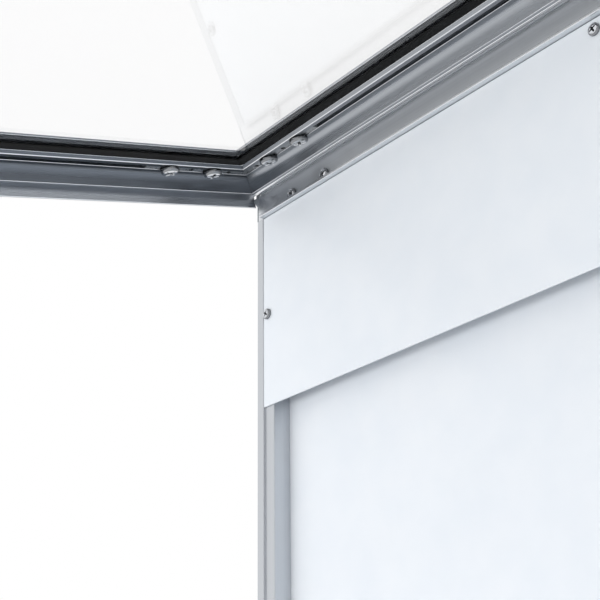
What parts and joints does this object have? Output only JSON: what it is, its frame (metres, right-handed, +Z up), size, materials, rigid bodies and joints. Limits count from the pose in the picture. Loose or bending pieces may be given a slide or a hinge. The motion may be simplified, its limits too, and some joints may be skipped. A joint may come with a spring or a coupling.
{
  "type": "lockable notice board",
  "caption": "Wall-mounted outdoor notice board: aluminium case with white magnetic back and header, and a top-hinged glazed door on gas struts with cam locks.",
  "frame": {"origin": "middle of the top rail's rear face, which is set level against the wall", "axes": "+X to the right seen from the front, +Y into the wall, +Z up"},
  "size_m": [0.8104, 1.0823, 1.0953],
  "materials": {
    "anodised": "satin silver anodised",
    "rail_anodised": "satin silver anodised, in the shade of the door",
    "screw_chrome": "bright plated, domed",
    "zinc_steel": "zinc plated",
    "lock_zinc": "nickel plated casting",
    "strut_black": "black enamel",
    "strut_rod": "hard chrome rod",
    "white_enamel": "satin white enamel",
    "gasket_rubber": "matt black",
    "foam_tape": "dark grey closed-cell foam",
    "cap_plastic": "grey moulded",
    "pane_glass": "clear toughened"
  },
  "bodies": {
    "root": {"case_bottom_rail": "anodised", "case_left_stile": "anodised", "case_right_stile": "anodised", "case_screw_left_1": "screw_chrome", "case_screw_left_2": "screw_chrome", "case_screw_right_1": "screw_chrome", "case_screw_right_2": "screw_chrome", "case_top_rail": "rail_anodised", "corner_bracket_bottom_left": "zinc_steel", "corner_bracket_bottom_right": "zinc_steel", "corner_bracket_top_left": "zinc_steel", "corner_bracket_top_right": "zinc_steel", "header_panel": "white_enamel", "header_screw_left": "screw_chrome", "header_screw_right": "screw_chrome", "header_screw_top_1": "screw_chrome", "header_screw_top_2": "screw_chrome", "rear_panel": "white_enamel", "strike_plate_left": "zinc_steel", "strike_plate_right": "zinc_steel", "strut_case_bracket_left": "zinc_steel", "strut_case_bracket_right": "zinc_steel", "top_rail_cap_left": "cap_plastic", "top_rail_cap_right": "cap_plastic"},
    "door": {"corner_cleat_bottom_left": "zinc_steel", "corner_cleat_bottom_right": "zinc_steel", "corner_cleat_top_left": "zinc_steel", "corner_cleat_top_right": "zinc_steel", "door_bottom_rail": "rail_anodised", "door_left_stile": "anodised", "door_pane": "pane_glass", "door_right_stile": "anodised", "door_screw_left_1": "screw_chrome", "door_screw_left_2": "screw_chrome", "door_screw_left_3": "screw_chrome", "door_screw_left_4": "screw_chrome", "door_screw_right_1": "screw_chrome", "door_screw_right_2": "screw_chrome", "door_screw_right_3": "screw_chrome", "door_screw_right_4": "screw_chrome", "door_top_rail": "rail_anodised", "glazing_gasket_bottom": "gasket_rubber", "glazing_gasket_left": "gasket_rubber", "glazing_gasket_right": "gasket_rubber", "glazing_gasket_top": "gasket_rubber", "glazing_tape_bottom": "foam_tape", "glazing_tape_left": "foam_tape", "glazing_tape_right": "foam_tape", "glazing_tape_top": "foam_tape", "lock_body_left": "lock_zinc", "lock_body_right": "lock_zinc", "strut_door_bracket_left": "zinc_steel", "strut_door_bracket_right": "zinc_steel"},
    "lock_cam_left": {"lock_cam_left": "zinc_steel"},
    "strut_tube_left": {"strut_tube_left": "strut_black"},
    "strut_rod_left": {"strut_rod_left": "strut_rod"},
    "lock_cam_right": {"lock_cam_right": "zinc_steel"},
    "strut_tube_right": {"strut_tube_right": "strut_black"},
    "strut_rod_right": {"strut_rod_right": "strut_rod"}
  },
  "joints": [
    {"name": "door_hinge", "type": "hinge", "parent": "root", "child": "door", "pos_m": [0, -0.024, 0.0157], "axis": [-1, 0, 0], "range_deg": [-77, 0]},
    {"name": "strut_left_pivot", "type": "hinge", "parent": "root", "child": "strut_tube_left", "pos_m": [-0.371, -0.018, -0.7243], "axis": [-1, 0, 0], "range_deg": [0, 20.32]},
    {"name": "strut_left_slide", "type": "slide", "parent": "strut_tube_left", "child": "strut_rod_left", "axis": [0, -0.3441, 0.9389], "range_m": [-0.23035, 0]},
    {"name": "lock_left_turn", "type": "hinge", "parent": "door", "child": "lock_cam_left", "pos_m": [-0.27, -1.064, -0.22194], "axis": [0, -0.225, 0.9744], "range_deg": [0, 90]},
    {"name": "strut_right_pivot", "type": "hinge", "parent": "root", "child": "strut_tube_right", "pos_m": [0.371, -0.018, -0.7243], "axis": [-1, 0, 0], "range_deg": [0, 20.32]},
    {"name": "strut_right_slide", "type": "slide", "parent": "strut_tube_right", "child": "strut_rod_right", "axis": [0, -0.3441, 0.9389], "range_m": [-0.23035, 0]},
    {"name": "lock_right_turn", "type": "hinge", "parent": "door", "child": "lock_cam_right", "pos_m": [0.27, -1.064, -0.22194], "axis": [0, 0.225, -0.9744], "range_deg": [0, 90]}
  ],
  "couplings": [
    {"joint": "strut_left_pivot", "follows": "door_hinge", "ratio": -0.26383},
    {"joint": "strut_left_slide", "follows": "door_hinge", "m_per_rad": 0.1714},
    {"joint": "strut_right_pivot", "follows": "door_hinge", "ratio": -0.26383},
    {"joint": "strut_right_slide", "follows": "door_hinge", "m_per_rad": 0.1714}
  ]
}
